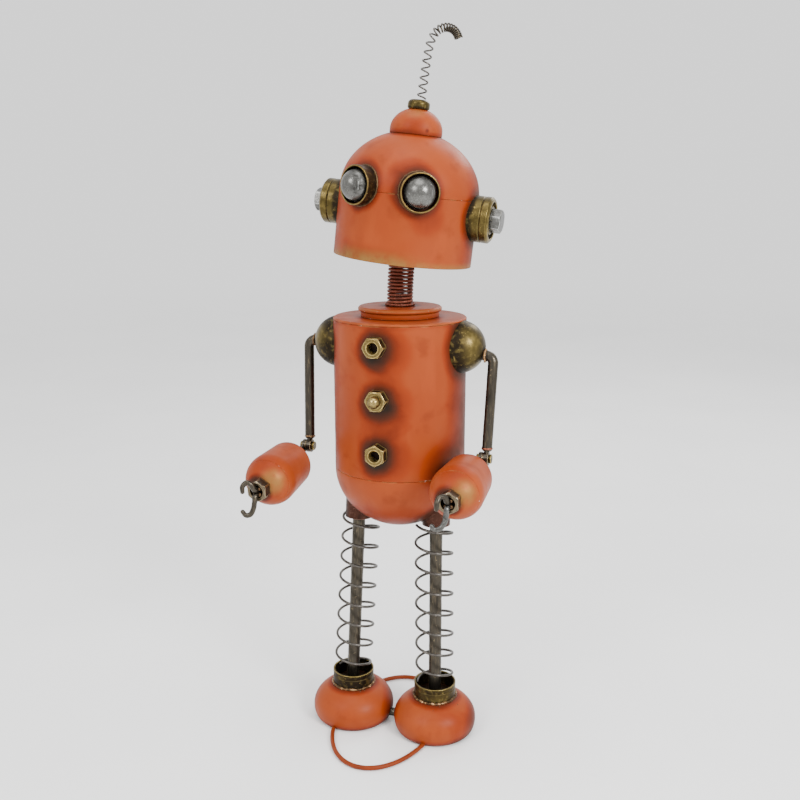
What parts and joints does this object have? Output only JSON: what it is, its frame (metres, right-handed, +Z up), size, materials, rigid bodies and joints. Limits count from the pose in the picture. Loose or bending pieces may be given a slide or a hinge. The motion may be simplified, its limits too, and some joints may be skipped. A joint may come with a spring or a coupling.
{
  "type": "robot figure",
  "caption": "Standing painted-steel robot with coil-sprung legs, a bobbing head on a spring neck, drooping spring antenna, ball eyes, pivoting arms and clawed hands.",
  "frame": {"origin": "on the floor, under the middle of the whole outline", "axes": "+Z up, the robot faces -Y, its left side is +X"},
  "size_m": [0.2252, 0.1877, 0.6554],
  "materials": {
    "orange_paint": "satin, airbrushed darker round the fittings, rubbed to gold at edges",
    "aged_brass": "aged, half bright",
    "bright_steel": "aged, half bright",
    "dark_steel": "darkened, satin",
    "copper_spring": "copper-brown lacquer"
  },
  "bodies": {
    "base": {"ankle_collar_left": "aged_brass", "ankle_collar_right": "aged_brass", "base_hoop_front": "orange_paint", "base_hoop_rear": "orange_paint", "chest_ball": "aged_brass", "chest_nut_lower": "aged_brass", "chest_nut_middle": "aged_brass", "chest_nut_upper": "aged_brass", "foot_dome_left": "orange_paint", "foot_dome_right": "orange_paint", "foot_link": "dark_steel", "hip_cup_left": "dark_steel", "hip_cup_right": "dark_steel", "leg_rod_left": "dark_steel", "leg_rod_right": "dark_steel", "leg_spring_left": "dark_steel", "leg_spring_right": "dark_steel", "neck_disc": "orange_paint", "neck_plug_lower": "dark_steel", "shoulder_dome_left": "aged_brass", "shoulder_dome_right": "aged_brass", "torso_bowl": "orange_paint", "torso_lid": "orange_paint", "torso_tube": "orange_paint"},
    "neck_low": {"neck_spring_lower": "copper_spring"},
    "neck_mid": {"neck_spring_middle": "copper_spring"},
    "head": {"antenna_cap": "aged_brass", "ear_bolt_left": "bright_steel", "ear_bolt_right": "bright_steel", "ear_drum_left": "aged_brass", "ear_drum_right": "aged_brass", "eye_ball_left": "bright_steel", "eye_ball_right": "bright_steel", "eye_tube_left": "aged_brass", "eye_tube_right": "aged_brass", "head_band": "orange_paint", "head_dome": "orange_paint", "head_floor": "orange_paint", "head_knob": "orange_paint", "neck_plug_upper": "dark_steel", "neck_spring_upper": "copper_spring"},
    "antenna_low": {"antenna_spring": "dark_steel"},
    "antenna_end": {"antenna_tip": "dark_steel"},
    "arm_left": {"arm_rod_left": "dark_steel", "shoulder_nut_left": "dark_steel", "elbow_pin_left": "aged_brass"},
    "forearm_left": {"forearm_rear_left": "orange_paint", "forearm_front_left": "orange_paint", "hand_nut_left": "dark_steel", "claw_upper_left": "dark_steel", "claw_lower_left": "dark_steel"},
    "arm_right": {"arm_rod_right": "dark_steel", "shoulder_nut_right": "dark_steel", "elbow_pin_right": "aged_brass"},
    "forearm_right": {"forearm_rear_right": "orange_paint", "forearm_front_right": "orange_paint", "hand_nut_right": "dark_steel", "claw_upper_right": "dark_steel", "claw_lower_right": "dark_steel"}
  },
  "joints": [
    {"name": "neck_twist", "type": "hinge", "parent": "base", "child": "neck_low", "pos_m": [0.01205, 0.03195, 0.412], "axis": [0, 0, 1], "range_deg": [-20, 20], "stiffness_Nm_per_rad": 3, "deforming": ["neck_spring_lower"]},
    {"name": "neck_nod", "type": "hinge", "parent": "neck_low", "child": "neck_mid", "pos_m": [0.01238, 0.03195, 0.42871], "axis": [1, 0, 0], "range_deg": [-14, 14], "stiffness_Nm_per_rad": 4, "springref_deg": -1.33, "deforming": ["neck_spring_lower", "neck_spring_middle"]},
    {"name": "neck_sway", "type": "hinge", "parent": "neck_mid", "child": "head", "pos_m": [0.01323, 0.03195, 0.44375], "axis": [0, 1, 0], "range_deg": [-14, 14], "stiffness_Nm_per_rad": 4, "springref_deg": -1.09, "deforming": ["neck_spring_middle", "neck_spring_upper"]},
    {"name": "antenna_sway", "type": "hinge", "parent": "head", "child": "antenna_low", "pos_m": [0.03171, 0.03195, 0.59293], "axis": [0, 1, 0], "range_deg": [-15, 15], "stiffness_Nm_per_rad": 0.05, "springref_deg": -0.44, "deforming": ["antenna_spring"]},
    {"name": "antenna_nod", "type": "hinge", "parent": "antenna_low", "child": "antenna_end", "pos_m": [0.0447, 0.03195, 0.64817], "axis": [1, 0, 0], "range_deg": [-15, 15], "stiffness_Nm_per_rad": 0.03, "deforming": ["antenna_spring", "antenna_tip"]},
    {"name": "shoulder_left", "type": "hinge", "parent": "base", "child": "arm_left", "pos_m": [0.06985, 0.02795, 0.37], "axis": [1, 0, 0], "range_deg": [-90, 0]},
    {"name": "elbow_left", "type": "hinge", "parent": "arm_left", "child": "forearm_left", "pos_m": [0.09992, 0.01568, 0.27683], "axis": [1, 0, 0], "range_deg": [-30, 20]},
    {"name": "shoulder_right", "type": "hinge", "parent": "base", "child": "arm_right", "pos_m": [-0.04575, 0.02795, 0.377], "axis": [1, 0, 0], "range_deg": [-90, 25]},
    {"name": "elbow_right", "type": "hinge", "parent": "arm_right", "child": "forearm_right", "pos_m": [-0.0756, 0.01893, 0.27392], "axis": [1, 0, 0], "range_deg": [-30, 50]}
  ]
}
